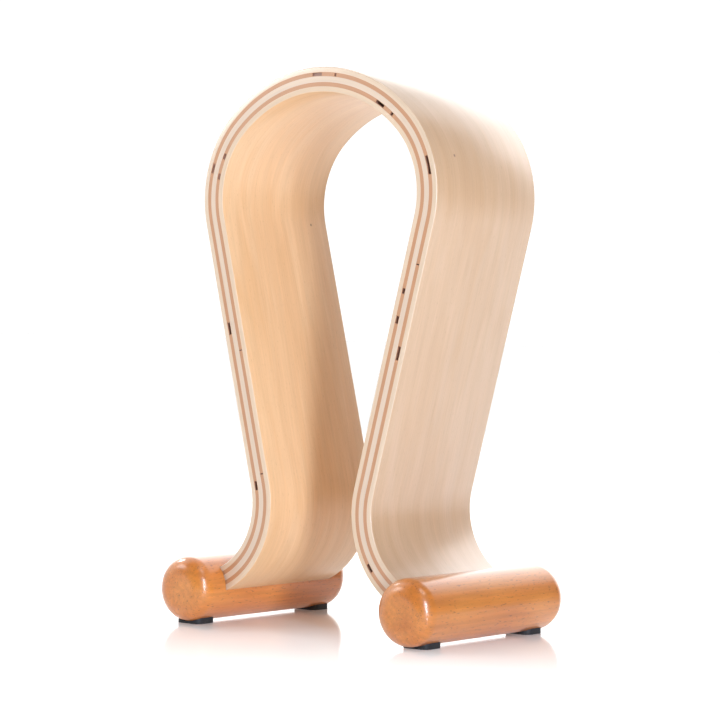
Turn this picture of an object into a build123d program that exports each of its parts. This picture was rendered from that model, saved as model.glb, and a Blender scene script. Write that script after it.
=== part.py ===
from build123d import *
import os

# Headphone stand: a bent plywood strip whose two flared tails are grooved into round wooden feet.
#
# The frame has its origin on the floor, midway between the feet. X runs across the arch from foot
# to foot, Y runs along the feet with the front at -Y, and Z is up. Sizes are in millimetres.

# The strip: five veneers, glued and pressed to shape
STRIP_WIDTH = 80.0
FACE_PLY = 2.6
CROSS_PLY = 2.0
CORE_PLY = 2.8
ARRIS_RADIUS = 0.5

# The course of the strip's mid line, from the crown of the arch down one side
OVERALL_HEIGHT = 273.0
CROWN_RADIUS = 74.0
CROWN_ANGLE = 43.5
SHOULDER_RADIUS = 49.0
LEG_LEAN = 14.1
LEG_LENGTH = 132.6
FLARE_RADIUS = 42.0
TAIL_SLOPE = 24.0
TAIL_LENGTH = 7.0

# The feet: round bars with rounded rims, lying front to back
FOOT_RADIUS = 16.0
FOOT_LENGTH = 115.0
FOOT_RIM_RADIUS = 8.0
FOOT_AXIS_X = 68.5
FOOT_CLEARANCE = 1.1
GROOVE_END_CLEARANCE = 0.5

# The blind dowel pins that tie each tail to its foot
PIN_RADIUS = 3.0
PIN_LENGTH = 18.0
PIN_CHAMFER = 0.6
PIN_Y = 24.0

# The soft pads stuck under the feet
PAD_THICKNESS = 2.6
PAD_WRAP = 24.0
PAD_LENGTH = 14.0
PAD_CORNER = 4.0
PAD_PLACES = {"left_front": -44.5, "left_back": 45.5, "right_front": -39.5, "right_back": 43.0}

# Gaps left between the narrow strips of the cross plies: place along the mid line, measured
# from the crown and positive to the right, and length. They show as slots in the front edge.
GAP_DEPTH = 9.0
OUTER_GAPS = [(-241, 5), (-162, 6.5), (-82, 5), (-1, 6), (10, 1.5), (83, 9), (129, 1), (172, 7)]
INNER_GAPS = [(-236, 1), (-174, 1), (-85, 3.5), (-74, 3.5), (41, 6), (50, 2), (143, 3), (157, 4)]
INNER_GAPS += [(277, 4.5)]

# Worked out from the sizes above
THICKNESS = 2 * FACE_PLY + 2 * CROSS_PLY + CORE_PLY
CROSS_INNER = CORE_PLY / 2
CROSS_OUTER = CROSS_INNER + CROSS_PLY
FACE_OUTER = THICKNESS / 2
CROWN_Z = OVERALL_HEIGHT - THICKNESS / 2
FOOT_AXIS_Z = FOOT_CLEARANCE + FOOT_RADIUS
SIDES = {"left": -1, "right": 1}
ENDS = {"front": -1, "back": 1}


def course(offset):
    """Draw the right-hand half of the strip's course, moved outwards by the offset."""
    crown = JernArc((0, CROWN_Z + offset), (1, 0), CROWN_RADIUS + offset, -CROWN_ANGLE)
    shoulder_turn = 90 + LEG_LEAN - CROWN_ANGLE
    shoulder = JernArc(crown @ 1, crown % 1, SHOULDER_RADIUS + offset, -shoulder_turn)
    leg = Line(shoulder @ 1, shoulder @ 1 + (shoulder % 1) * LEG_LENGTH)
    flare = JernArc(leg @ 1, leg % 1, FLARE_RADIUS - offset, 90 + LEG_LEAN - TAIL_SLOPE)
    tail = Line(flare @ 1, flare @ 1 + (flare % 1) * TAIL_LENGTH)
    return crown @ 0, tail @ 1


def strip_section(inner, outer):
    """The whole arch's section between two offsets from the mid line, on the XZ plane."""
    with BuildSketch(Plane.XZ) as section:
        with BuildLine():
            inner_start, inner_end = course(inner)
            outer_start, outer_end = course(outer)
            Line(inner_start, outer_start)
            Line(inner_end, outer_end)
        make_face()
        mirror(about=Plane.YZ)
    return section.sketch


with BuildLine(Plane.XZ) as mid_line:
    course(0)
MID_LINE = mid_line.wire()


def mid_point(distance):
    """The point and the heading on the mid line, at a distance from the crown."""
    side = 1 if distance >= 0 else -1
    place = MID_LINE.position_at(abs(distance), position_mode=PositionMode.LENGTH)
    heading = MID_LINE.tangent_at(abs(distance), position_mode=PositionMode.LENGTH)
    return Vector(side * place.X, 0, place.Z), Vector(heading.X, 0, side * heading.Z)


def gap_plane(distance):
    """A plane on the front edge of the strip, with its x along the strip and its y inwards."""
    place, heading = mid_point(distance)
    return Plane(origin=place - Vector(0, STRIP_WIDTH / 2, 0), x_dir=heading, z_dir=(0, 1, 0))


def pin_plane(side, y):
    """The middle of a dowel pin, in the tail's end face, with its z out along the tail."""
    tail_end = MID_LINE @ 1
    tail_way = MID_LINE % 1
    return Plane(origin=(side * tail_end.X, y, tail_end.Z), z_dir=(side * tail_way.X, 0, tail_way.Z))


PIN_PLANES = {
    f"{side}_{end}": pin_plane(SIDES[side], ENDS[end] * PIN_Y)
    for side in SIDES
    for end in ENDS
}


def crown_arrises(veneer, radius):
    """The crown's arc edges of that radius. A fillet on them runs on down both legs."""
    arcs = veneer.edges().filter_by(GeomType.CIRCLE)
    return arcs.filter_by(lambda edge: abs(edge.radius - radius) < 0.01)


def save(part, name):
    """Label a finished piece and write its STEP file."""
    part.label = name
    export_step(part, f"parts/{name}.step")


os.makedirs("parts", exist_ok=True)

# The two face veneers, with their grain along the strip and softened outer arrises
with BuildPart() as outer_face_veneer:
    extrude(strip_section(CROSS_OUTER, FACE_OUTER), amount=STRIP_WIDTH / 2, both=True)
    fillet(crown_arrises(outer_face_veneer, CROWN_RADIUS + FACE_OUTER), ARRIS_RADIUS)
save(outer_face_veneer.part, "outer_face_veneer")

with BuildPart() as inner_face_veneer:
    extrude(strip_section(-FACE_OUTER, -CROSS_OUTER), amount=STRIP_WIDTH / 2, both=True)
    fillet(crown_arrises(inner_face_veneer, CROWN_RADIUS - FACE_OUTER), ARRIS_RADIUS)
save(inner_face_veneer.part, "inner_face_veneer")

# The core and the two cross plies are drilled for the pins, and the cross plies have their gaps
inner_layers = {
    "inner_cross_veneer": (-CROSS_OUTER, -CROSS_INNER, INNER_GAPS),
    "core_veneer": (-CROSS_INNER, CROSS_INNER, []),
    "outer_cross_veneer": (CROSS_INNER, CROSS_OUTER, OUTER_GAPS),
}
for layer_name, (inner, outer, gaps) in inner_layers.items():
    with BuildPart() as layer:
        extrude(strip_section(inner, outer), amount=STRIP_WIDTH / 2, both=True)
        for pin in PIN_PLANES.values():
            with BuildSketch(pin):
                Circle(PIN_RADIUS)
            extrude(amount=PIN_LENGTH / 2, both=True, mode=Mode.SUBTRACT)
        for distance, gap_length in gaps:
            with BuildSketch(gap_plane(distance)):
                with Locations((0, -(inner + outer) / 2)):
                    Rectangle(gap_length, 2 * CROSS_PLY)
            extrude(amount=GAP_DEPTH, mode=Mode.SUBTRACT)
    save(layer.part, layer_name)

# The feet: turned bars, grooved for the tails and drilled for the pins
for side_name, side in SIDES.items():
    axis_plane = Plane(origin=(side * FOOT_AXIS_X, 0, FOOT_AXIS_Z), x_dir=(1, 0, 0), z_dir=(0, 1, 0))
    with BuildPart() as foot:
        with BuildSketch(axis_plane):
            Circle(FOOT_RADIUS)
        extrude(amount=FOOT_LENGTH / 2, both=True)
        fillet(foot.edges().filter_by(GeomType.CIRCLE), FOOT_RIM_RADIUS)
        half_groove = STRIP_WIDTH / 2 + GROOVE_END_CLEARANCE
        groove_section = strip_section(-FACE_OUTER, FACE_OUTER)
        extrude(groove_section, amount=half_groove, both=True, mode=Mode.SUBTRACT)
        for pin_name, pin in PIN_PLANES.items():
            if pin_name.startswith(side_name):
                with BuildSketch(pin):
                    Circle(PIN_RADIUS)
                extrude(amount=PIN_LENGTH / 2, mode=Mode.SUBTRACT)
    save(foot.part, f"{side_name}_foot")

    # The pads under each end of the foot follow its curve and stand flat on the floor
    for end_name in ENDS:
        pad_y = PAD_PLACES[f"{side_name}_{end_name}"]
        with BuildPart() as pad:
            with BuildSketch(axis_plane.offset(pad_y)):
                with BuildLine():
                    rim = CenterArc((0, 0), FOOT_RADIUS + PAD_THICKNESS, 90 - PAD_WRAP, 2 * PAD_WRAP)
                    Line((0, 0), rim @ 0)
                    Line(rim @ 1, (0, 0))
                make_face()
            extrude(amount=PAD_LENGTH / 2, both=True)
            with BuildSketch(Plane.XY):
                with Locations((side * FOOT_AXIS_X, pad_y)):
                    RectangleRounded(2 * FOOT_RADIUS, PAD_LENGTH, PAD_CORNER)
            extrude(amount=FOOT_AXIS_Z, mode=Mode.INTERSECT)
            add(foot.part, mode=Mode.SUBTRACT)
        save(pad.part, f"{side_name}_{end_name}_pad")

# The dowel pins, chamfered at both ends
for pin_name, pin in PIN_PLANES.items():
    with BuildPart() as dowel_pin:
        with BuildSketch(pin):
            Circle(PIN_RADIUS)
        extrude(amount=PIN_LENGTH / 2, both=True)
        chamfer(dowel_pin.edges().filter_by(GeomType.CIRCLE), PIN_CHAMFER)
    save(dowel_pin.part, f"{pin_name}_dowel_pin")
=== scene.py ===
import math

import bmesh
import bpy
from mathutils import Euler, Matrix, Vector


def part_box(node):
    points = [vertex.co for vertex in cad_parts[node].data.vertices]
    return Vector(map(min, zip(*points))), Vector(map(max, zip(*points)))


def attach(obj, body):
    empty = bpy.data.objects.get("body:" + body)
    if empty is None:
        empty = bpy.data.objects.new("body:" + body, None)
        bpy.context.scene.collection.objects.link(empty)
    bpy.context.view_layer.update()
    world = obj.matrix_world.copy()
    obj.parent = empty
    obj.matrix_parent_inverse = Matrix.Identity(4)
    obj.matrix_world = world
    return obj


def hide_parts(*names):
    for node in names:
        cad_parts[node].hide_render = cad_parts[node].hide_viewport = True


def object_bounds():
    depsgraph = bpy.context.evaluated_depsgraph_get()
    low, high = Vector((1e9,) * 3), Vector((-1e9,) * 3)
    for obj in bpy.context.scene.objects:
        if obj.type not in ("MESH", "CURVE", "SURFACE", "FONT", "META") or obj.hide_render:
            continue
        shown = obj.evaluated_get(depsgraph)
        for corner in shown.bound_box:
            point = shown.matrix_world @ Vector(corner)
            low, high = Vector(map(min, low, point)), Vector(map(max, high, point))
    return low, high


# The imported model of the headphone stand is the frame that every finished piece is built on.
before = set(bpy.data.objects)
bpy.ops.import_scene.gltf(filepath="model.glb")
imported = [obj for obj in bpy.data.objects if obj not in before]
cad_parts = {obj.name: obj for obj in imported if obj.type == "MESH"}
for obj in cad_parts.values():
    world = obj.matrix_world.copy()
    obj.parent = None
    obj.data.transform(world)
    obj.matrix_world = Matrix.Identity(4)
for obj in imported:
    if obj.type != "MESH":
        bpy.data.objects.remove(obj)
cad_low, cad_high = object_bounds()
BODY = "root"


# ---------------------------------------------------------------------------------------------
# Camera. It stands in front of the stand and to its right, a little above half its height, with
# a long lens, so the front edge, the inside of the left leg and the outside of the right one show.
camera_data = bpy.data.cameras.new("studio_camera")
camera_data.lens = 128.3
camera_data.sensor_width = 36.0
camera_data.clip_end = 50.0
camera = bpy.data.objects.new("studio_camera", camera_data)
camera.location = (0.7844, -0.9930, 0.1532)
camera_yaw = 0.6704
camera_pitch = -0.0167
camera_roll = 0.0200
camera_turn = Euler((math.pi / 2 + camera_pitch, 0.0, camera_yaw)).to_matrix()
camera_turn = camera_turn @ Matrix.Rotation(camera_roll, 3, "Z")
camera.rotation_euler = camera_turn.to_euler()
bpy.context.scene.collection.objects.link(camera)
bpy.context.scene.camera = camera
bpy.context.scene.view_settings.view_transform = "Standard"


# ---------------------------------------------------------------------------------------------
# Floor. A wide sheet of white acrylic on a photographer's table. It is polished round the feet,
# where it carries a faint image of them, and turns matt a hand's breadth in front of the stand.
FLOOR_HALF = 12.0
floor_mesh = bpy.data.meshes.new("studio_floor")
floor_build = bmesh.new()
bmesh.ops.create_grid(floor_build, x_segments=1, y_segments=1, size=FLOOR_HALF)
floor_build.to_mesh(floor_mesh)
floor_build.free()
floor = bpy.data.objects.new("studio_floor", floor_mesh)
bpy.context.scene.collection.objects.link(floor)
floor_material = bpy.data.materials.new("white_acrylic")
floor_material.use_nodes = True
floor_nodes = floor_material.node_tree.nodes
floor_nodes.clear()
floor_place = floor_nodes.new("ShaderNodeTexCoord")
floor_place.label = "Place on the floor"
floor_place.location = (-1000, 0)
forwards = floor_nodes.new("ShaderNodeVectorMath")
forwards.label = "How far in front of the stand"
forwards.operation = "DOT_PRODUCT"
forwards.location = (-800, 0)
forwards.inputs[1].default_value = (0.616, -0.788, 0.0)
polish = floor_nodes.new("ShaderNodeMapRange")
polish.label = "Polished, then matt"
polish.interpolation_type = "SMOOTHSTEP"
polish.location = (-600, 0)
polish.inputs["From Min"].default_value = -0.03
polish.inputs["From Max"].default_value = 0.22
polish.inputs["To Min"].default_value = 1.0
polish.inputs["To Max"].default_value = 0.0
gloss_level = floor_nodes.new("ShaderNodeMath")
gloss_level.label = "Strength of the image"
gloss_level.operation = "MULTIPLY"
gloss_level.location = (-400, 100)
gloss_level.inputs[1].default_value = 0.5
matt_glow = floor_nodes.new("ShaderNodeMapRange")
matt_glow.label = "Glow of the matt part"
matt_glow.location = (-400, -100)
matt_glow.inputs["To Min"].default_value = 0.45
matt_glow.inputs["To Max"].default_value = 0.06
floor_seen = floor_nodes.new("ShaderNodeLightPath")
floor_seen.label = "Seen by the lens"
floor_seen.location = (-400, -350)
glow = floor_nodes.new("ShaderNodeMix")
glow.label = "Glow for the lens only"
glow.data_type = "FLOAT"
glow.location = (-200, -150)
glow.inputs["A"].default_value = 0.15
acrylic = floor_nodes.new("ShaderNodeBsdfPrincipled")
acrylic.label = "White acrylic"
acrylic.location = (0, 0)
acrylic.inputs["Base Color"].default_value = (0.89, 0.89, 0.89, 1.0)
acrylic.inputs["Roughness"].default_value = 0.10
acrylic.inputs["IOR"].default_value = 1.30
acrylic.inputs["Emission Color"].default_value = (1.0, 1.0, 1.0, 1.0)
floor_output = floor_nodes.new("ShaderNodeOutputMaterial")
floor_output.label = "Floor surface"
floor_output.location = (300, 0)
floor_links = floor_material.node_tree.links
floor_links.new(floor_place.outputs["Object"], forwards.inputs[0])
floor_links.new(forwards.outputs["Value"], polish.inputs["Value"])
floor_links.new(polish.outputs["Result"], gloss_level.inputs[0])
floor_links.new(gloss_level.outputs["Value"], acrylic.inputs["Specular IOR Level"])
floor_links.new(polish.outputs["Result"], matt_glow.inputs["Value"])
floor_links.new(matt_glow.outputs["Result"], glow.inputs["B"])
floor_links.new(floor_seen.outputs["Is Camera Ray"], glow.inputs["Factor"])
floor_links.new(glow.outputs["Result"], acrylic.inputs["Emission Strength"])
floor_links.new(acrylic.outputs["BSDF"], floor_output.inputs["Surface"])
floor_mesh.materials.append(floor_material)


# ---------------------------------------------------------------------------------------------
# Light. White paper glows behind the stand and round to its left, the rest of the room is dimmer.
# A tall, narrow soft box to the right of the camera does most of the work. Weaker ones on the left,
# in front and overhead fill in, and a wide one behind lays the sheen on the lacquer.
world = bpy.data.worlds.new("white_studio")
bpy.context.scene.world = world
world.use_nodes = True
sky = world.node_tree.nodes
sky.clear()
sky_direction = sky.new("ShaderNodeTexCoord")
sky_direction.label = "Direction in the room"
sky_direction.location = (-1000, 0)
paper_side = sky.new("ShaderNodeVectorMath")
paper_side.label = "How far round towards the paper"
paper_side.operation = "DOT_PRODUCT"
paper_side.location = (-800, 100)
paper_side.inputs[1].default_value = (-0.87, 0.49, 0.0)
paper_edge = sky.new("ShaderNodeMapRange")
paper_edge.label = "Soft edge of the paper"
paper_edge.interpolation_type = "SMOOTHSTEP"
paper_edge.location = (-600, 100)
paper_edge.inputs["From Min"].default_value = 0.10
paper_edge.inputs["From Max"].default_value = 0.32
paper_edge.inputs["To Min"].default_value = 0.11
paper_edge.inputs["To Max"].default_value = 1.15
seen_or_lighting = sky.new("ShaderNodeLightPath")
seen_or_lighting.label = "What the lens sees"
seen_or_lighting.location = (-600, -150)
backdrop_choice = sky.new("ShaderNodeMix")
backdrop_choice.label = "White all round for the lens"
backdrop_choice.data_type = "FLOAT"
backdrop_choice.location = (-400, 0)
backdrop_choice.inputs["B"].default_value = 1.1
sky_light = sky.new("ShaderNodeBackground")
sky_light.label = "Studio light"
sky_light.location = (-200, 0)
sky_light.inputs["Color"].default_value = (1.0, 1.0, 1.0, 1.0)
sky_output = sky.new("ShaderNodeOutputWorld")
sky_output.label = "World"
sky_output.location = (0, 0)
sky_links = world.node_tree.links
sky_links.new(sky_direction.outputs["Generated"], paper_side.inputs[0])
sky_links.new(paper_side.outputs["Value"], paper_edge.inputs["Value"])
sky_links.new(paper_edge.outputs["Result"], backdrop_choice.inputs["A"])
sky_links.new(seen_or_lighting.outputs["Is Camera Ray"], backdrop_choice.inputs["Factor"])
sky_links.new(backdrop_choice.outputs["Result"], sky_light.inputs["Strength"])
sky_links.new(sky_light.outputs["Background"], sky_output.inputs["Surface"])

STAND_MIDDLE = (cad_low + cad_high) / 2


def soft_box(name, towards, distance, width, height, watts, tint):
    """Stand a soft box that far away in that direction, facing the middle of the stand."""
    data = bpy.data.lights.new(name, "AREA")
    data.shape = "RECTANGLE"
    data.size = width
    data.size_y = height
    data.energy = watts
    data.color = tint
    light = bpy.data.objects.new(name, data)
    way = Vector(towards).normalized()
    light.location = STAND_MIDDLE + way * distance
    light.rotation_euler = way.to_track_quat("Z", "Y").to_euler()
    bpy.context.scene.collection.objects.link(light)


WHITE_LAMP = (1.0, 1.0, 1.0)
COOL_LAMP = (0.88, 1.0, 1.18)
soft_box("key_box", (0.853, -0.486, 0.20), 1.5, 0.22, 0.95, 16.5, COOL_LAMP)
soft_box("left_box", (-0.78, 0.10, 0.62), 1.8, 0.40, 0.40, 8.0, WHITE_LAMP)
soft_box("front_box", (-0.68, -0.60, 0.42), 0.8, 0.28, 0.28, 1.1, WHITE_LAMP)
soft_box("back_box", (-0.42, 0.90, 0.32), 2.0, 3.5, 1.4, 18.5, WHITE_LAMP)
soft_box("top_box", (0.45, -0.10, 0.90), 1.6, 0.60, 0.60, 4.0, WHITE_LAMP)


# ---------------------------------------------------------------------------------------------
# The strip. Five veneers are glued one on the next and pressed to the omega's course: a crown
# arc, a tighter shoulder arc, a straight leg that leans inwards, a flare arc and a short tail.
FACE_PLY = 0.0026
CROSS_PLY = 0.0020
CORE_PLY = 0.0028
OVERALL_HEIGHT = 0.2730
CROSS_INNER = CORE_PLY / 2
CROSS_OUTER = CROSS_INNER + CROSS_PLY
FACE_OUTER = CROSS_OUTER + FACE_PLY
HALF_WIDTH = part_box("core_veneer")[1].y
CROWN_RADIUS = 0.0740
CROWN_TURN = math.radians(43.5)
SHOULDER_RADIUS = 0.0490
LEAN = math.radians(14.1)
LEG_LENGTH = 0.1326
FLARE_RADIUS = 0.0420
TAIL_SLOPE = math.radians(24.0)
TAIL_LENGTH = 0.0070
SHOULDER_TURN = math.pi / 2 + LEAN - CROWN_TURN
FLARE_TURN = math.pi / 2 + LEAN - TAIL_SLOPE

crown_z = OVERALL_HEIGHT - FACE_OUTER
crown_centre = Vector((0.0, 0.0, crown_z - CROWN_RADIUS))
crown_end_way = Vector((math.sin(CROWN_TURN), 0.0, math.cos(CROWN_TURN)))
shoulder_centre = crown_centre + crown_end_way * (CROWN_RADIUS - SHOULDER_RADIUS)
leg_outwards = Vector((math.cos(LEAN), 0.0, -math.sin(LEAN)))
leg_down = Vector((-math.sin(LEAN), 0.0, -math.cos(LEAN)))
leg_start = shoulder_centre + leg_outwards * SHOULDER_RADIUS
leg_end = leg_start + leg_down * LEG_LENGTH
flare_centre = leg_end + leg_outwards * FLARE_RADIUS
tail_down = Vector((math.cos(TAIL_SLOPE), 0.0, -math.sin(TAIL_SLOPE)))
tail_outwards = Vector((math.sin(TAIL_SLOPE), 0.0, math.cos(TAIL_SLOPE)))
tail_start = flare_centre - tail_outwards * FLARE_RADIUS
CROWN_RUN = CROWN_RADIUS * CROWN_TURN
SHOULDER_RUN = CROWN_RUN + SHOULDER_RADIUS * SHOULDER_TURN
LEG_RUN = SHOULDER_RUN + LEG_LENGTH
FLARE_RUN = LEG_RUN + FLARE_RADIUS * FLARE_TURN
CROWN_STEPS = 32
SHOULDER_STEPS = 44
LEG_STEPS = 24
FLARE_STEPS = 40
TAIL_STEPS = 2
TOUCHING = 1e-6
CREASE = math.radians(35)


def flatten(point):
    """Where a point of the strip lay before pressing: along it from the crown, across, and out."""
    side = -1.0 if point.x < 0 else 1.0
    spot = Vector((abs(point.x), 0.0, point.z))
    from_crown = spot - crown_centre
    crown_angle = math.atan2(from_crown.x, from_crown.z)
    if crown_angle <= CROWN_TURN and spot.z > leg_start.z:
        return side * CROWN_RADIUS * crown_angle, point.y, from_crown.length - CROWN_RADIUS
    from_shoulder = spot - shoulder_centre
    if from_shoulder.dot(leg_down) <= 0:
        shoulder_angle = math.atan2(from_shoulder.x, from_shoulder.z) - CROWN_TURN
        along = CROWN_RUN + SHOULDER_RADIUS * shoulder_angle
        return side * along, point.y, from_shoulder.length - SHOULDER_RADIUS
    down_leg = (spot - leg_start).dot(leg_down)
    if down_leg <= LEG_LENGTH:
        return side * (SHOULDER_RUN + down_leg), point.y, (spot - leg_start).dot(leg_outwards)
    past_flare = (spot - tail_start).dot(tail_down)
    if past_flare >= 0:
        return side * (FLARE_RUN + past_flare), point.y, (spot - tail_start).dot(tail_outwards)
    from_flare = spot - flare_centre
    flare_angle = math.atan2(from_flare.dot(leg_down), -from_flare.dot(leg_outwards))
    return side * (LEG_RUN + FLARE_RADIUS * flare_angle), point.y, FLARE_RADIUS - from_flare.length


def last_faces(step):
    """The end faces that a spin or an extrusion leaves, ready for the next one."""
    geometry = step.get("geom_last", step.get("geom"))
    return [part for part in geometry if isinstance(part, bmesh.types.BMFace)]


def with_rims(faces):
    """Faces with their edges and corners, as a spin takes them."""
    edges = dict.fromkeys(edge for face in faces for edge in face.edges)
    corners = dict.fromkeys(corner for face in faces for corner in face.verts)
    return [*corners, *edges, *faces]


def spin_on(build, faces, centre, angle, steps):
    """Carry the end faces round an arc."""
    step = bmesh.ops.spin(
        build, geom=with_rims(faces), cent=centre, axis=(0, 1, 0), angle=angle, steps=steps,
        use_duplicate=False,
    )
    return last_faces(step)


def push_on(build, faces, way, length, steps):
    """Carry the end faces along a straight."""
    for _ in range(steps):
        step = bmesh.ops.extrude_face_region(build, geom=with_rims(faces))
        old_faces = faces
        faces = last_faces(step)
        corners = list(dict.fromkeys(corner for face in faces for corner in face.verts))
        bmesh.ops.translate(build, verts=corners, vec=way * (length / steps))
        passed = [face for face in old_faces if face.is_valid]
        bmesh.ops.delete(build, geom=passed, context="FACES_ONLY")
    return faces


def press_veneer(inner, outer):
    """Sweep a veneer's section down the right-hand course and mirror it to the left."""
    build = bmesh.new()
    low_front = build.verts.new((0.0, -HALF_WIDTH, crown_z + inner))
    low_back = build.verts.new((0.0, HALF_WIDTH, crown_z + inner))
    high_back = build.verts.new((0.0, HALF_WIDTH, crown_z + outer))
    high_front = build.verts.new((0.0, -HALF_WIDTH, crown_z + outer))
    section = [build.faces.new((low_front, low_back, high_back, high_front))]
    section = spin_on(build, section, crown_centre, CROWN_TURN, CROWN_STEPS)
    section = spin_on(build, section, shoulder_centre, SHOULDER_TURN, SHOULDER_STEPS)
    section = push_on(build, section, leg_down, LEG_LENGTH, LEG_STEPS)
    section = spin_on(build, section, flare_centre, -FLARE_TURN, FLARE_STEPS)
    push_on(build, section, tail_down, TAIL_LENGTH, TAIL_STEPS)
    crown_faces = [
        face for face in build.faces if all(abs(corner.co.x) < TOUCHING for corner in face.verts)
    ]
    bmesh.ops.delete(build, geom=crown_faces, context="FACES_ONLY")
    whole = build.verts[:] + build.edges[:] + build.faces[:]
    bmesh.ops.mirror(build, geom=whole, matrix=Matrix.Identity(4), merge_dist=TOUCHING, axis="X")
    bmesh.ops.recalc_face_normals(build, faces=build.faces[:])
    return build


NOISE = 1e-7
PHASE = 0.75  # whole and half steps of the noise both stay clear of the place where it rounds


def write_sorted(build, name):
    """A mesh with its corners and faces sorted and float noise rounded off, the same each run."""
    build.verts.ensure_lookup_table()
    places = [
        tuple(math.floor(value / NOISE + PHASE) * NOISE for value in corner.co)
        for corner in build.verts
    ]
    order = sorted(range(len(places)), key=places.__getitem__)
    for rank, index in enumerate(order):
        build.verts[index].index = rank
    rings = []
    for face in build.faces:
        ring = [corner.index for corner in face.verts]
        first = ring.index(min(ring))
        rings.append(ring[first:] + ring[:first])
    mesh = bpy.data.meshes.new(name)
    mesh.from_pydata([places[index] for index in order], [], sorted(rings))
    build.free()
    return mesh


def finish_veneer(build, name, material):
    """Write the pressed veneer out with its flat coordinates as an attribute, and place it."""
    mesh = write_sorted(build, name)
    flat = mesh.attributes.new("flat_sheet", "FLOAT_VECTOR", "POINT")
    for vertex in mesh.vertices:
        flat.data[vertex.index].vector = flatten(vertex.co)
    mesh.set_sharp_from_angle(angle=CREASE)
    for polygon in mesh.polygons:
        polygon.use_smooth = True
    mesh.materials.append(material)
    piece = bpy.data.objects.new(name + "_pressed", mesh)
    bpy.context.scene.collection.objects.link(piece)
    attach(piece, BODY)
    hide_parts(name)


def round_arris(build, offset, radius):
    """Take the sharp corner off the two long edges at that offset from the mid line."""
    corners = []
    for edge in build.edges:
        ends = [flatten(corner.co) for corner in edge.verts]
        at_offset = all(abs(end[2] - offset) < ON_CORNER for end in ends)
        at_edge = all(abs(abs(end[1]) - HALF_WIDTH) < ON_CORNER for end in ends)
        if at_offset and at_edge and abs(ends[0][1] - ends[1][1]) < ON_CORNER:
            corners.append(edge)
    bmesh.ops.bevel(
        build, geom=corners, offset=radius, offset_type="OFFSET", segments=3, profile=0.5,
        affect="EDGES", material=-1, clamp_overlap=True,
    )


def mid_line(along):
    """The point and the heading on the strip's mid line, at a distance from the crown."""
    side = -1.0 if along < 0 else 1.0
    run = abs(along)
    if run <= CROWN_RUN:
        angle = run / CROWN_RADIUS
        place = crown_centre + Vector((math.sin(angle), 0.0, math.cos(angle))) * CROWN_RADIUS
        heading = Vector((math.cos(angle), 0.0, -math.sin(angle)))
    elif run <= SHOULDER_RUN:
        angle = CROWN_TURN + (run - CROWN_RUN) / SHOULDER_RADIUS
        place = shoulder_centre + Vector((math.sin(angle), 0.0, math.cos(angle))) * SHOULDER_RADIUS
        heading = Vector((math.cos(angle), 0.0, -math.sin(angle)))
    elif run <= LEG_RUN:
        place = leg_start + leg_down * (run - SHOULDER_RUN)
        heading = leg_down.copy()
    else:
        angle = (run - LEG_RUN) / FLARE_RADIUS
        reach = leg_down * math.sin(angle) - leg_outwards * math.cos(angle)
        place = flare_centre + reach * FLARE_RADIUS
        heading = leg_down * math.cos(angle) + leg_outwards * math.sin(angle)
    return Vector((side * place.x, 0.0, place.z)), Vector((heading.x, 0.0, side * heading.z))


def cut_gaps(build, gaps):
    """Leave the gaps between the narrow sheets of a cross ply as slots in its front edge."""
    for along, length, depth in gaps:
        for end in (along - length / 2, along + length / 2):
            place, heading = mid_line(end)
            nearby = [
                face for face in build.faces
                if (face.calc_center_median() - place).length < CUT_REACH and face.normal.y < -0.5
            ]
            bmesh.ops.bisect_plane(
                build, geom=with_rims(nearby), plane_co=place, plane_no=heading, dist=TOUCHING,
            )
        mouth = [
            face for face in build.faces
            if face.normal.y < -0.5
            and abs(flatten(face.calc_center_median())[0] - along) < length / 2
        ]
        lips = min(GAP_LIP, length / 4)
        bmesh.ops.inset_region(build, faces=mouth, thickness=lips, use_even_offset=True)
        push_in = bmesh.ops.extrude_face_region(build, geom=with_rims(mouth))
        corners = [part for part in push_in["geom"] if isinstance(part, bmesh.types.BMVert)]
        bmesh.ops.translate(build, verts=corners, vec=(0.0, depth, 0.0))
        passed = [face for face in mouth if face.is_valid]
        bmesh.ops.delete(build, geom=passed, context="FACES_ONLY")


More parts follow.
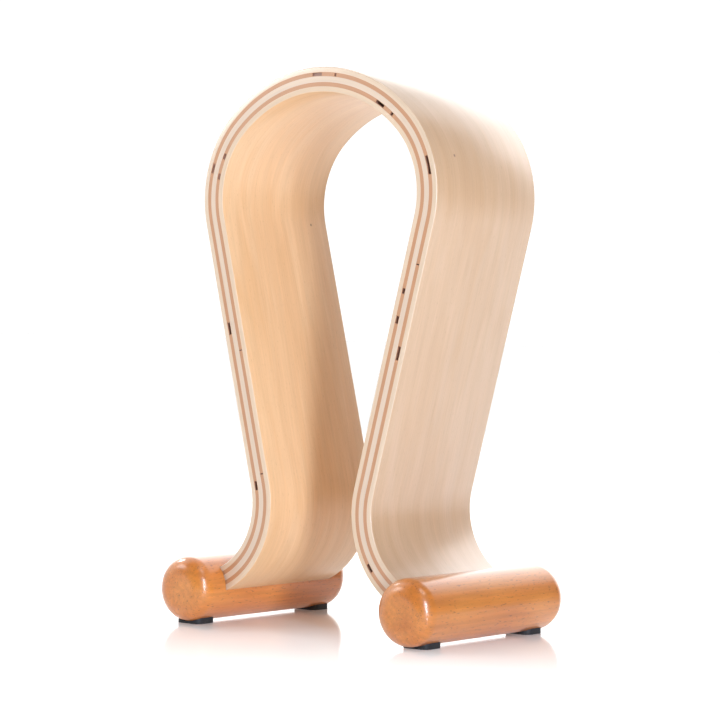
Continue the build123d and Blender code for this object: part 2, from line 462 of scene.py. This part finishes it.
def veneer_material(name, pale, tan, sawn, lacquer, seed, knot):
    """Lacquered rotary-cut veneer: ground, streaks, fibres, flecks, a pin knot, a sawn edge."""
    material = bpy.data.materials.new(name)
    material.use_nodes = True
    nodes = material.node_tree.nodes
    links = material.node_tree.links
    nodes.clear()
    sheet = nodes.new("ShaderNodeAttribute")
    sheet.label = "Place on the flat sheet"
    sheet.attribute_name = "flat_sheet"
    sheet.location = (-1600, 0)

    # Cloudy figure: wide, slow changes of tone along the strip
    figure_frame = nodes.new("NodeFrame")
    figure_frame.label = "Figure"
    figure_place = nodes.new("ShaderNodeMapping")
    figure_place.label = "Stretch the figure along the strip"
    figure_place.location = (-1350, 300)
    figure_place.parent = figure_frame
    figure_place.inputs["Location"].default_value = (seed, seed * 0.7, 0.0)
    figure_place.inputs["Scale"].default_value = (12.0, 85.0, 85.0)
    figure = nodes.new("ShaderNodeTexNoise")
    figure.label = "Cloudy figure"
    figure.location = (-1150, 300)
    figure.parent = figure_frame
    figure.inputs["Scale"].default_value = 1.0
    figure.inputs["Detail"].default_value = 4.0
    figure.inputs["Distortion"].default_value = 1.1

    # Growth rings: faint wavy lines a few millimetres apart
    ring_frame = nodes.new("NodeFrame")
    ring_frame.label = "Growth rings"
    ring_place = nodes.new("ShaderNodeMapping")
    ring_place.label = "Stretch the rings along the strip"
    ring_place.location = (-1350, 0)
    ring_place.parent = ring_frame
    ring_place.inputs["Location"].default_value = (seed * 1.3, seed, 0.0)
    ring_place.inputs["Scale"].default_value = (3.0, 32.0, 32.0)
    rings = nodes.new("ShaderNodeTexWave")
    rings.label = "Ring lines"
    rings.location = (-1150, 0)
    rings.parent = ring_frame
    rings.wave_type = "BANDS"
    rings.bands_direction = "Y"
    rings.inputs["Scale"].default_value = 1.0
    rings.inputs["Distortion"].default_value = 9.0
    rings.inputs["Detail"].default_value = 2.0
    rings.inputs["Detail Scale"].default_value = 0.8

    # Fibres: fine streaks that run with the grain
    fibre_frame = nodes.new("NodeFrame")
    fibre_frame.label = "Fibres"
    fibre_place = nodes.new("ShaderNodeMapping")
    fibre_place.label = "Draw the fibres out"
    fibre_place.location = (-1350, -300)
    fibre_place.parent = fibre_frame
    fibre_place.inputs["Location"].default_value = (seed * 2.0, seed * 3.0, 0.0)
    fibre_place.inputs["Scale"].default_value = (30.0, 1300.0, 1300.0)
    fibres = nodes.new("ShaderNodeTexNoise")
    fibres.label = "Fine fibres"
    fibres.location = (-1150, -300)
    fibres.parent = fibre_frame
    fibres.inputs["Scale"].default_value = 1.0
    fibres.inputs["Detail"].default_value = 4.0
    fibres.inputs["Roughness"].default_value = 0.6

    # Flecks: short brown dashes in the fibre direction
    fleck_frame = nodes.new("NodeFrame")
    fleck_frame.label = "Flecks"
    fleck_place = nodes.new("ShaderNodeMapping")
    fleck_place.label = "Short dashes"
    fleck_place.location = (-1350, -600)
    fleck_place.parent = fleck_frame
    fleck_place.inputs["Scale"].default_value = (420.0, 2200.0, 2200.0)
    flecks = nodes.new("ShaderNodeTexNoise")
    flecks.label = "Fleck places"
    flecks.location = (-1150, -600)
    flecks.parent = fleck_frame
    flecks.inputs["Scale"].default_value = 1.0
    flecks.inputs["Detail"].default_value = 1.0
    fleck_cut = nodes.new("ShaderNodeMapRange")
    fleck_cut.label = "Only the strongest"
    fleck_cut.location = (-950, -600)
    fleck_cut.parent = fleck_frame
    fleck_cut.inputs["From Min"].default_value = 0.66
    fleck_cut.inputs["From Max"].default_value = 0.78

    # Colour: the ground, then each effect laid over it
    ground = nodes.new("ShaderNodeMix")
    ground.label = "Ground tone"
    ground.data_type = "RGBA"
    ground.location = (-700, 300)
    ground.inputs["A"].default_value = pale
    ground.inputs["B"].default_value = tan
    figure_span = nodes.new("ShaderNodeMapRange")
    figure_span.label = "Figure strength"
    figure_span.location = (-950, 300)
    figure_span.inputs["From Min"].default_value = 0.36
    figure_span.inputs["From Max"].default_value = 0.66
    ring_tone = nodes.new("ShaderNodeMapRange")
    ring_tone.label = "Ring strength"
    ring_tone.location = (-950, 0)
    ring_tone.inputs["To Min"].default_value = 1.0
    ring_tone.inputs["To Max"].default_value = 0.975
    fibre_tone = nodes.new("ShaderNodeMapRange")
    fibre_tone.label = "Fibre strength"
    fibre_tone.location = (-950, -300)
    fibre_tone.inputs["From Min"].default_value = 0.30
    fibre_tone.inputs["From Max"].default_value = 0.70
    fibre_tone.inputs["To Min"].default_value = 1.03
    fibre_tone.inputs["To Max"].default_value = 0.93
    both_tones = nodes.new("ShaderNodeMath")
    both_tones.label = "Rings and fibres together"
    both_tones.operation = "MULTIPLY"
    both_tones.location = (-700, -100)
    shaded = nodes.new("ShaderNodeVectorMath")
    shaded.label = "Shade the ground"
    shaded.operation = "SCALE"
    shaded.location = (-500, 200)
    flecked = nodes.new("ShaderNodeMix")
    flecked.label = "Lay the flecks on"
    flecked.data_type = "RGBA"
    flecked.location = (-300, 100)
    flecked.inputs["B"].default_value = (0.36, 0.20, 0.10, 1.0)
    fleck_amount = nodes.new("ShaderNodeMath")
    fleck_amount.label = "Faint flecks"
    fleck_amount.operation = "MULTIPLY"
    fleck_amount.location = (-700, -600)
    fleck_amount.inputs[1].default_value = 0.30

    # Pin knot: one small dark eye, where a twig grew
    knot_frame = nodes.new("NodeFrame")
    knot_frame.label = "Pin knot"
    from_knot = nodes.new("ShaderNodeVectorMath")
    from_knot.label = "Distance from the knot"
    from_knot.operation = "DISTANCE"
    from_knot.location = (-950, 550)
    from_knot.parent = knot_frame
    from_knot.inputs[1].default_value = knot
    knot_eye = nodes.new("ShaderNodeMapRange")
    knot_eye.label = "Eye of the knot"
    knot_eye.location = (-700, 550)
    knot_eye.parent = knot_frame
    knot_eye.inputs["From Min"].default_value = 0.0003
    knot_eye.inputs["From Max"].default_value = 0.0009
    knot_eye.inputs["To Min"].default_value = 0.8
    knot_eye.inputs["To Max"].default_value = 0.0
    knotted = nodes.new("ShaderNodeMix")
    knotted.label = "Lay the knot on"
    knotted.data_type = "RGBA"
    knotted.location = (-300, 350)
    knotted.parent = knot_frame
    knotted.inputs["B"].default_value = (0.20, 0.11, 0.07, 1.0)

    # Sawn edge: the two long edges show another face of the wood, in its own tone
    edge_frame = nodes.new("NodeFrame")
    edge_frame.label = "Sawn edge"
    sheet_axes = nodes.new("ShaderNodeSeparateXYZ")
    sheet_axes.label = "Along, across and out"
    sheet_axes.location = (-1150, -900)
    sheet_axes.parent = edge_frame
    from_middle = nodes.new("ShaderNodeMath")
    from_middle.label = "How far from the middle"
    from_middle.operation = "ABSOLUTE"
    from_middle.location = (-950, -900)
    from_middle.parent = edge_frame
    on_edge = nodes.new("ShaderNodeMapRange")
    on_edge.label = "Only at the edge"
    on_edge.location = (-750, -900)
    on_edge.parent = edge_frame
    on_edge.inputs["From Min"].default_value = HALF_WIDTH - 0.0004
    on_edge.inputs["From Max"].default_value = HALF_WIDTH - 0.0001
    edge_grain = nodes.new("ShaderNodeVectorMath")
    edge_grain.label = "Fibres on the edge"
    edge_grain.operation = "SCALE"
    edge_grain.location = (-500, -750)
    edge_grain.parent = edge_frame
    edge_grain.inputs[0].default_value = sawn
    edged = nodes.new("ShaderNodeMix")
    edged.label = "Edge or face"
    edged.data_type = "RGBA"
    edged.location = (-150, 250)

    # Finish: satin lacquer that lets a little of the fibre through
    gloss = nodes.new("ShaderNodeMapRange")
    gloss.label = "Roughness from the fibres"
    gloss.location = (-500, -300)
    gloss.inputs["To Min"].default_value = 0.30
    gloss.inputs["To Max"].default_value = 0.42
    relief = nodes.new("ShaderNodeBump")
    relief.label = "Fibre relief under the lacquer"
    relief.location = (-300, -450)
    relief.inputs["Strength"].default_value = 0.12
    relief.inputs["Distance"].default_value = 0.0001
    wood = nodes.new("ShaderNodeBsdfPrincipled")
    wood.label = "Lacquered veneer"
    wood.location = (0, 0)
    wood.inputs["Coat Weight"].default_value = lacquer
    wood.inputs["Coat Roughness"].default_value = 0.22
    wood.inputs["Coat IOR"].default_value = 1.75
    surface = nodes.new("ShaderNodeOutputMaterial")
    surface.label = "Veneer surface"
    surface.location = (300, 0)

    links.new(sheet.outputs["Vector"], figure_place.inputs["Vector"])
    links.new(sheet.outputs["Vector"], ring_place.inputs["Vector"])
    links.new(sheet.outputs["Vector"], fibre_place.inputs["Vector"])
    links.new(sheet.outputs["Vector"], fleck_place.inputs["Vector"])
    links.new(figure_place.outputs["Vector"], figure.inputs["Vector"])
    links.new(ring_place.outputs["Vector"], rings.inputs["Vector"])
    links.new(fibre_place.outputs["Vector"], fibres.inputs["Vector"])
    links.new(fleck_place.outputs["Vector"], flecks.inputs["Vector"])
    links.new(figure.outputs["Fac"], figure_span.inputs["Value"])
    links.new(figure_span.outputs["Result"], ground.inputs["Factor"])
    links.new(rings.outputs["Fac"], ring_tone.inputs["Value"])
    links.new(fibres.outputs["Fac"], fibre_tone.inputs["Value"])
    links.new(ring_tone.outputs["Result"], both_tones.inputs[0])
    links.new(fibre_tone.outputs["Result"], both_tones.inputs[1])
    links.new(ground.outputs["Result"], shaded.inputs["Vector"])
    links.new(both_tones.outputs["Value"], shaded.inputs["Scale"])
    links.new(flecks.outputs["Fac"], fleck_cut.inputs["Value"])
    links.new(fleck_cut.outputs["Result"], fleck_amount.inputs[0])
    links.new(fleck_amount.outputs["Value"], flecked.inputs["Factor"])
    links.new(shaded.outputs["Vector"], flecked.inputs["A"])
    links.new(sheet.outputs["Vector"], sheet_axes.inputs["Vector"])
    links.new(sheet_axes.outputs["Y"], from_middle.inputs[0])
    links.new(from_middle.outputs["Value"], on_edge.inputs["Value"])
    links.new(on_edge.outputs["Result"], edged.inputs["Factor"])
    links.new(both_tones.outputs["Value"], edge_grain.inputs["Scale"])
    links.new(sheet.outputs["Vector"], from_knot.inputs[0])
    links.new(from_knot.outputs["Value"], knot_eye.inputs["Value"])
    links.new(knot_eye.outputs["Result"], knotted.inputs["Factor"])
    links.new(flecked.outputs["Result"], knotted.inputs["A"])
    links.new(knotted.outputs["Result"], edged.inputs["A"])
    links.new(edge_grain.outputs["Vector"], edged.inputs["B"])
    links.new(edged.outputs["Result"], wood.inputs["Base Color"])
    links.new(fibres.outputs["Fac"], gloss.inputs["Value"])
    links.new(gloss.outputs["Result"], wood.inputs["Roughness"])
    links.new(fibres.outputs["Fac"], relief.inputs["Height"])
    links.new(relief.outputs["Normal"], wood.inputs["Normal"])
    links.new(wood.outputs["BSDF"], surface.inputs["Surface"])
    return material


ARRIS_RADIUS = 0.0005
ON_CORNER = 1e-5
GAP_LIP = 0.0002
CUT_REACH = 0.060
# A gap is its place from the crown, its length and its depth: open, or shallow where it is filled;
# the dark brown at the bottom of both is painted shade
OPEN = 0.0090
FILLED = 0.0007
OUTER_GAPS = [
    (-0.241, 0.0050, OPEN), (-0.162, 0.0065, OPEN), (-0.082, 0.0050, FILLED),
    (-0.001, 0.0060, FILLED), (0.010, 0.0015, FILLED), (0.083, 0.0090, OPEN),
    (0.129, 0.0010, OPEN), (0.172, 0.0070, OPEN),
]
INNER_GAPS = [
    (-0.236, 0.0010, OPEN), (-0.174, 0.0010, OPEN), (-0.085, 0.0035, FILLED),
    (-0.074, 0.0035, FILLED), (0.041, 0.0060, OPEN), (0.050, 0.0020, OPEN),
    (0.143, 0.0030, OPEN), (0.157, 0.0040, OPEN), (0.277, 0.0045, OPEN),
]
# The two face veneers are one birch veneer. The outer face gets darker colours as painted shade,
# set against the stronger light on it, and the inner face gets lighter ones as painted light.
OUTER_PALE_PAINTED_SHADE = (0.70, 0.450, 0.275, 1.0)
OUTER_TAN_PAINTED_SHADE = (0.66, 0.405, 0.232, 1.0)
INNER_PALE_PAINTED_LIGHT = (0.84, 0.555, 0.315, 1.0)
INNER_TAN_PAINTED_LIGHT = (0.79, 0.490, 0.255, 1.0)
FACE_EDGE = (0.83, 0.615, 0.430)
CORE_PALE = (0.80, 0.575, 0.410, 1.0)
CORE_TAN = (0.74, 0.500, 0.330, 1.0)
CORE_EDGE = (0.81, 0.615, 0.460)
# The cross plies' faces show only on the walls and floors of the gaps. Their dark brown, darker
# than the plies' own sawn edge, is painted shade inside the gaps.
CROSS_PALE_GAP_SHADE = (0.42, 0.220, 0.150, 1.0)
CROSS_TAN_GAP_SHADE = (0.32, 0.150, 0.100, 1.0)
CROSS_EDGE = (0.62, 0.300, 0.150)
OUTER_KNOT = (0.0789, -0.0224, FACE_OUTER)
INNER_KNOT = (-0.1085, 0.0275, -FACE_OUTER)
HIDDEN_KNOT = (0.0500, 0.0100, 0.0)

outer_face = press_veneer(CROSS_OUTER, FACE_OUTER)
round_arris(outer_face, FACE_OUTER, ARRIS_RADIUS)
# Outer face: its darker colours are painted shade.
outer_wood_painted_shade = veneer_material(
    "outer_face_wood_painted_shade", OUTER_PALE_PAINTED_SHADE, OUTER_TAN_PAINTED_SHADE, FACE_EDGE, 1.0, 0.31, OUTER_KNOT
)
finish_veneer(outer_face, "outer_face_veneer", outer_wood_painted_shade)
inner_face = press_veneer(-FACE_OUTER, -CROSS_OUTER)
round_arris(inner_face, -FACE_OUTER, ARRIS_RADIUS)
# Inner face: its lighter colours are painted light.
inner_wood_painted_light = veneer_material(
    "inner_face_wood_painted_light", INNER_PALE_PAINTED_LIGHT, INNER_TAN_PAINTED_LIGHT, FACE_EDGE, 0.30, 0.87, INNER_KNOT
)
finish_veneer(inner_face, "inner_face_veneer", inner_wood_painted_light)
core = press_veneer(-CROSS_INNER, CROSS_INNER)
core_wood = veneer_material("core_wood", CORE_PALE, CORE_TAN, CORE_EDGE, 0.5, 1.53, HIDDEN_KNOT)
finish_veneer(core, "core_veneer", core_wood)
# The cross-ply material carries the ply's real sawn-edge colour, plus painted shade on its faces
# for the gaps.
cross_wood_and_gap_shade = veneer_material(
    "cross_wood_and_gap_shade", CROSS_PALE_GAP_SHADE, CROSS_TAN_GAP_SHADE, CROSS_EDGE, 0.5, 2.21, HIDDEN_KNOT
)
outer_cross = press_veneer(CROSS_INNER, CROSS_OUTER)
cut_gaps(outer_cross, OUTER_GAPS)
finish_veneer(outer_cross, "outer_cross_veneer", cross_wood_and_gap_shade)
inner_cross = press_veneer(-CROSS_OUTER, -CROSS_INNER)
cut_gaps(inner_cross, INNER_GAPS)
finish_veneer(inner_cross, "inner_cross_veneer", cross_wood_and_gap_shade)


# ---------------------------------------------------------------------------------------------
# The feet. Two turned bars of a close-grained hardwood, stained orange-brown and sprayed with
# several coats of gloss lacquer; each is grooved along its inner side for the strip's tail.
def turned_wood(name, light, heavy, lacquer, seed, pith):
    """Turned hardwood: rings round a pith outside the bar, stained patches, dashes of pores."""
    material = bpy.data.materials.new(name)
    material.use_nodes = True
    nodes = material.node_tree.nodes
    links = material.node_tree.links
    nodes.clear()
    place = nodes.new("ShaderNodeTexCoord")
    place.label = "Place on the bar"
    place.location = (-1700, 0)

    # Growth rings, bowed round a pith that lies outside the bar
    ring_frame = nodes.new("NodeFrame")
    ring_frame.label = "Growth rings"
    ring_place = nodes.new("ShaderNodeMapping")
    ring_place.label = "Move the pith out of the bar"
    ring_place.location = (-1450, 300)
    ring_place.parent = ring_frame
    ring_place.inputs["Location"].default_value = pith
    ring_place.inputs["Rotation"].default_value = (0.03, 0.0, 0.05)
    ring_place.inputs["Scale"].default_value = (1.0, 0.22, 1.0)
    rings = nodes.new("ShaderNodeTexWave")
    rings.label = "Rings"
    rings.location = (-1200, 300)
    rings.parent = ring_frame
    rings.wave_type = "RINGS"
    rings.rings_direction = "Y"
    rings.inputs["Scale"].default_value = 95.0
    rings.inputs["Distortion"].default_value = 4.5
    rings.inputs["Detail"].default_value = 2.5
    rings.inputs["Detail Scale"].default_value = 0.6
    ring_shade = nodes.new("ShaderNodeMapRange")
    ring_shade.label = "Ring strength"
    ring_shade.location = (-950, 300)
    ring_shade.parent = ring_frame
    ring_shade.inputs["From Min"].default_value = 0.45
    ring_shade.inputs["From Max"].default_value = 1.0
    ring_shade.inputs["To Max"].default_value = 0.10

    # Stain: patches where the wood took more or less of it
    stain_frame = nodes.new("NodeFrame")
    stain_frame.label = "Stain"
    stain_place = nodes.new("ShaderNodeMapping")
    stain_place.label = "Long patches"
    stain_place.location = (-1450, 0)
    stain_place.parent = stain_frame
    stain_place.inputs["Location"].default_value = (seed, seed * 2.0, 0.0)
    stain_place.inputs["Scale"].default_value = (70.0, 22.0, 70.0)
    stain = nodes.new("ShaderNodeTexNoise")
    stain.label = "Stain patches"
    stain.location = (-1200, 0)
    stain.parent = stain_frame
    stain.inputs["Scale"].default_value = 1.0
    stain.inputs["Detail"].default_value = 3.0
    stain_shade = nodes.new("ShaderNodeMapRange")
    stain_shade.label = "Stain strength"
    stain_shade.location = (-950, 0)
    stain_shade.parent = stain_frame
    stain_shade.inputs["From Min"].default_value = 0.32
    stain_shade.inputs["From Max"].default_value = 0.68

    # Pores: short dark dashes along the bar, dots on its ends
    pore_frame = nodes.new("NodeFrame")
    pore_frame.label = "Pores"
    pore_place = nodes.new("ShaderNodeMapping")
    pore_place.label = "Draw the pores out along the bar"
    pore_place.location = (-1450, -300)
    pore_place.parent = pore_frame
    pore_place.inputs["Location"].default_value = (seed * 3.0, seed, 0.0)
    pore_place.inputs["Scale"].default_value = (1300.0, 330.0, 1300.0)
    pores = nodes.new("ShaderNodeTexNoise")
    pores.label = "Pore places"
    pores.location = (-1200, -300)
    pores.parent = pore_frame
    pores.inputs["Scale"].default_value = 1.0
    pores.inputs["Detail"].default_value = 1.5
    pore_cut = nodes.new("ShaderNodeMapRange")
    pore_cut.label = "Only the open ones"
    pore_cut.location = (-950, -300)
    pore_cut.parent = pore_frame
    pore_cut.inputs["From Min"].default_value = 0.61
    pore_cut.inputs["From Max"].default_value = 0.74
    pore_cut.inputs["To Max"].default_value = 0.55

    # Fibres: fine streaks between the pores
    fibre_frame = nodes.new("NodeFrame")
    fibre_frame.label = "Fibres"
    fibre_place = nodes.new("ShaderNodeMapping")
    fibre_place.label = "Draw the fibres out along the bar"
    fibre_place.location = (-1450, -600)
    fibre_place.parent = fibre_frame
    fibre_place.inputs["Location"].default_value = (seed, seed * 5.0, 0.0)
    fibre_place.inputs["Scale"].default_value = (650.0, 26.0, 650.0)
    fibres = nodes.new("ShaderNodeTexNoise")
    fibres.label = "Fine fibres"
    fibres.location = (-1200, -600)
    fibres.parent = fibre_frame
    fibres.inputs["Scale"].default_value = 1.0
    fibres.inputs["Detail"].default_value = 4.0
    fibre_shade = nodes.new("ShaderNodeMapRange")
    fibre_shade.label = "Fibre strength"
    fibre_shade.location = (-950, -600)
    fibre_shade.parent = fibre_frame
    fibre_shade.inputs["From Min"].default_value = 0.30
    fibre_shade.inputs["From Max"].default_value = 0.70
    fibre_shade.inputs["To Min"].default_value = 1.08
    fibre_shade.inputs["To Max"].default_value = 0.88

    # Colour
    ground = nodes.new("ShaderNodeMix")
    ground.label = "Light and heavy stain"
    ground.data_type = "RGBA"
    ground.location = (-700, 100)
    ground.inputs["A"].default_value = light
    ground.inputs["B"].default_value = heavy
    ringed = nodes.new("ShaderNodeMix")
    ringed.label = "Lay the rings on"
    ringed.data_type = "RGBA"
    ringed.location = (-500, 200)
    ringed.inputs["B"].default_value = (0.42, 0.125, 0.028, 1.0)
    streaked = nodes.new("ShaderNodeVectorMath")
    streaked.label = "Shade with the fibres"
    streaked.operation = "SCALE"
    streaked.location = (-300, 100)
    pored = nodes.new("ShaderNodeMix")
    pored.label = "Lay the pores on"
    pored.data_type = "RGBA"
    pored.location = (-100, 0)
    pored.inputs["B"].default_value = (0.17, 0.050, 0.020, 1.0)

    # Finish: thick gloss lacquer that barely shows the pores beneath
    relief = nodes.new("ShaderNodeBump")
    relief.label = "Pores under the lacquer"
    relief.location = (-100, -350)
    relief.invert = True
    relief.inputs["Strength"].default_value = 0.10
    relief.inputs["Distance"].default_value = 0.0001
    wood = nodes.new("ShaderNodeBsdfPrincipled")
    wood.label = "Stained wood under gloss lacquer"
    wood.location = (200, 0)
    wood.inputs["Roughness"].default_value = 0.38
    wood.inputs["Coat Weight"].default_value = lacquer
    wood.inputs["Coat Roughness"].default_value = 0.20
    surface = nodes.new("ShaderNodeOutputMaterial")
    surface.label = "Foot surface"
    surface.location = (500, 0)

    links.new(place.outputs["Object"], ring_place.inputs["Vector"])
    links.new(place.outputs["Object"], stain_place.inputs["Vector"])
    links.new(place.outputs["Object"], pore_place.inputs["Vector"])
    links.new(place.outputs["Object"], fibre_place.inputs["Vector"])
    links.new(ring_place.outputs["Vector"], rings.inputs["Vector"])
    links.new(rings.outputs["Fac"], ring_shade.inputs["Value"])
    links.new(stain_place.outputs["Vector"], stain.inputs["Vector"])
    links.new(stain.outputs["Fac"], stain_shade.inputs["Value"])
    links.new(pore_place.outputs["Vector"], pores.inputs["Vector"])
    links.new(pores.outputs["Fac"], pore_cut.inputs["Value"])
    links.new(fibre_place.outputs["Vector"], fibres.inputs["Vector"])
    links.new(fibres.outputs["Fac"], fibre_shade.inputs["Value"])
    links.new(stain_shade.outputs["Result"], ground.inputs["Factor"])
    links.new(ground.outputs["Result"], ringed.inputs["A"])
    links.new(ring_shade.outputs["Result"], ringed.inputs["Factor"])
    links.new(ringed.outputs["Result"], streaked.inputs["Vector"])
    links.new(fibre_shade.outputs["Result"], streaked.inputs["Scale"])
    links.new(streaked.outputs["Vector"], pored.inputs["A"])
    links.new(pore_cut.outputs["Result"], pored.inputs["Factor"])
    links.new(pored.outputs["Result"], wood.inputs["Base Color"])
    links.new(pore_cut.outputs["Result"], relief.inputs["Height"])
    links.new(relief.outputs["Normal"], wood.inputs["Normal"])
    links.new(wood.outputs["BSDF"], surface.inputs["Surface"])
    return material


def dress(node, material):
    """Give a CAD piece, whose shape is already right, its finished material."""
    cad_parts[node].data.materials.clear()
    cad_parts[node].data.materials.append(material)


LIGHT_STAIN = (0.75, 0.265, 0.046, 1.0)
HEAVY_STAIN = (0.62, 0.185, 0.028, 1.0)
LEFT_PITH = (0.1025, 0.0, 0.0150)
RIGHT_PITH = (-0.0385, 0.0, 0.0190)
left_wood = turned_wood("left_foot_wood", LIGHT_STAIN, HEAVY_STAIN, 1.0, 0.37, LEFT_PITH)
dress("left_foot", left_wood)
right_wood = turned_wood("right_foot_wood", LIGHT_STAIN, HEAVY_STAIN, 1.0, 1.21, RIGHT_PITH)
dress("right_foot", right_wood)


# ---------------------------------------------------------------------------------------------
# The pads. Four pieces of black rubber sheet, glued across the underside of the feet near their
# ends; they follow the bars' curve above and are pressed flat where they stand.
def rubber():
    """Matt black rubber: fine moulded stipple, a little dust grey on it."""
    material = bpy.data.materials.new("black_rubber")
    material.use_nodes = True
    nodes = material.node_tree.nodes
    links = material.node_tree.links
    nodes.clear()
    place = nodes.new("ShaderNodeTexCoord")
    place.label = "Place on the pad"
    place.location = (-900, 0)
    dust_frame = nodes.new("NodeFrame")
    dust_frame.label = "Dust"
    dust = nodes.new("ShaderNodeTexNoise")
    dust.label = "Dusty patches"
    dust.location = (-700, 150)
    dust.parent = dust_frame
    dust.inputs["Scale"].default_value = 240.0
    dust.inputs["Detail"].default_value = 3.0
    tone = nodes.new("ShaderNodeMix")
    tone.label = "Black to dusty grey"
    tone.data_type = "RGBA"
    tone.location = (-400, 150)
    tone.parent = dust_frame
    tone.inputs["A"].default_value = (0.012, 0.013, 0.015, 1.0)
    tone.inputs["B"].default_value = (0.040, 0.043, 0.048, 1.0)
    stipple_frame = nodes.new("NodeFrame")
    stipple_frame.label = "Moulded stipple"
    stipple = nodes.new("ShaderNodeTexNoise")
    stipple.label = "Stipple"
    stipple.location = (-700, -200)
    stipple.parent = stipple_frame
    stipple.inputs["Scale"].default_value = 2600.0
    stipple.inputs["Detail"].default_value = 2.0
    relief = nodes.new("ShaderNodeBump")
    relief.label = "Stipple relief"
    relief.location = (-400, -200)
    relief.parent = stipple_frame
    relief.inputs["Strength"].default_value = 0.35
    relief.inputs["Distance"].default_value = 0.0001
    skin = nodes.new("ShaderNodeBsdfPrincipled")
    skin.label = "Rubber"
    skin.location = (-100, 0)
    skin.inputs["Roughness"].default_value = 0.55
    skin.inputs["Specular IOR Level"].default_value = 0.4
    surface = nodes.new("ShaderNodeOutputMaterial")
    surface.label = "Pad surface"
    surface.location = (200, 0)
    links.new(place.outputs["Object"], dust.inputs["Vector"])
    links.new(place.outputs["Object"], stipple.inputs["Vector"])
    links.new(dust.outputs["Fac"], tone.inputs["Factor"])
    links.new(tone.outputs["Result"], skin.inputs["Base Color"])
    links.new(stipple.outputs["Fac"], relief.inputs["Height"])
    links.new(relief.outputs["Normal"], skin.inputs["Normal"])
    links.new(skin.outputs["BSDF"], surface.inputs["Surface"])
    return material


FOOT_RADIUS = 0.0160
PAD_SINK = 0.0001
PAD_SOFTNESS = 0.0006
PAD_CORNER = 0.0040
PAD_SLICES = 12
SHARP_EDGE = 0.8
SLICE_TOUCHING = 1e-7
pad_rubber = rubber()


def cut_pad(node):
    """Shape a pad: round its plan corners, bend its top to the bar, soften its edges."""
    low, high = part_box(node)
    foot_low, foot_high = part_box(node.split("_")[0] + "_foot")
    axis = Vector(((foot_low.x + foot_high.x) / 2, 0.0, foot_low.z + FOOT_RADIUS))
    build = bmesh.new()
    bmesh.ops.create_grid(build, x_segments=1, y_segments=1, size=0.5)
    bmesh.ops.scale(build, vec=(high.x - low.x, high.y - low.y, 1.0), verts=build.verts[:])
    middle = (low + high) / 2
    bmesh.ops.translate(build, vec=(middle.x, middle.y, 0.0), verts=build.verts[:])
    bmesh.ops.bevel(
        build, geom=build.verts[:], offset=PAD_CORNER, offset_type="OFFSET", segments=6,
        profile=0.5, affect="VERTICES", material=-1,
    )
    sole = build.faces[:]
    top = bmesh.ops.extrude_face_region(build, geom=with_rims(sole))
    lid_corners = [part for part in top["geom"] if isinstance(part, bmesh.types.BMVert)]
    bmesh.ops.translate(build, vec=(0.0, 0.0, high.z), verts=lid_corners)
    bmesh.ops.recalc_face_normals(build, faces=build.faces[:])
    for step in range(1, PAD_SLICES):
        x = low.x + (high.x - low.x) * step / PAD_SLICES
        whole = build.verts[:] + build.edges[:] + build.faces[:]
        bmesh.ops.bisect_plane(
            build, geom=whole, plane_co=(x, 0.0, 0.0), plane_no=(1.0, 0.0, 0.0),
            dist=SLICE_TOUCHING,
        )
    for corner in build.verts:
        if corner.co.z > high.z / 2:
            across = corner.co.x - axis.x
            corner.co.z = axis.z - math.sqrt((FOOT_RADIUS - PAD_SINK) ** 2 - across ** 2)
    soft = [
        edge for edge in build.edges
        if len(edge.link_faces) == 2 and edge.calc_face_angle() > SHARP_EDGE
    ]
    bmesh.ops.bevel(
        build, geom=soft, offset=PAD_SOFTNESS, offset_type="OFFSET", segments=3, profile=0.5,
        affect="EDGES", material=-1, clamp_overlap=True,
    )
    bmesh.ops.recalc_face_normals(build, faces=build.faces[:])
    mesh = bpy.data.meshes.new(node)
    build.to_mesh(mesh)
    build.free()
    for polygon in mesh.polygons:
        polygon.use_smooth = True
    mesh.materials.append(pad_rubber)
    piece = bpy.data.objects.new(node + "_cut", mesh)
    bpy.context.scene.collection.objects.link(piece)
    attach(piece, BODY)
    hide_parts(node)


for pad_node in ("left_front_pad", "left_back_pad", "right_front_pad", "right_back_pad"):
    cut_pad(pad_node)


# ---------------------------------------------------------------------------------------------
# The pins. Plain beech dowels, glued blind between each foot and the tail that sits in its
# groove, so the tail can't creep out; nothing of them shows on the finished stand.
BEECH = (0.68, 0.46, 0.30, 1.0)
DARK_BEECH = (0.57, 0.36, 0.22, 1.0)
pin_wood = turned_wood("pin_wood", BEECH, DARK_BEECH, 0.0, 4.10, (0.0200, 0.0, 0.0400))
for pin_node in (
    "left_front_dowel_pin", "left_back_dowel_pin", "right_front_dowel_pin", "right_back_dowel_pin",
):
    dress(pin_node, pin_wood)
